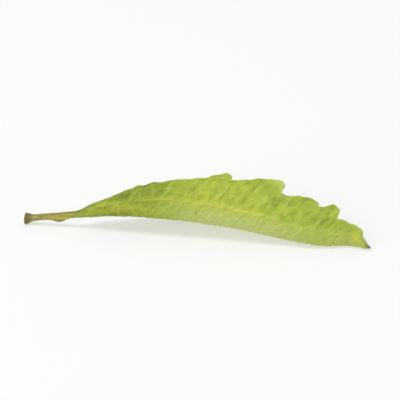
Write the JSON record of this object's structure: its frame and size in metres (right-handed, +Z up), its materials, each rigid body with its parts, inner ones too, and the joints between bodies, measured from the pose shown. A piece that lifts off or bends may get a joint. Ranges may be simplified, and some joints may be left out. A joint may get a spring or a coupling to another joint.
{
  "type": "dried leaf",
  "caption": "Dried herb leaf with a narrow stalk and a toothed blade, folded lengthwise along its midrib and lying on its side.",
  "frame": {"origin": "middle of the leaf's outline seen from above, on the surface that it lies on", "axes": "+X from the cut end of the stalk to the tip, +Y from the fold towards the leaf's two edges, +Z up"},
  "size_m": [0.0442, 0.0076, 0.0075],
  "materials": {
    "leaf": "matte"
  },
  "bodies": {
    "root": {"leaf": "leaf"}
  },
  "joints": []
}
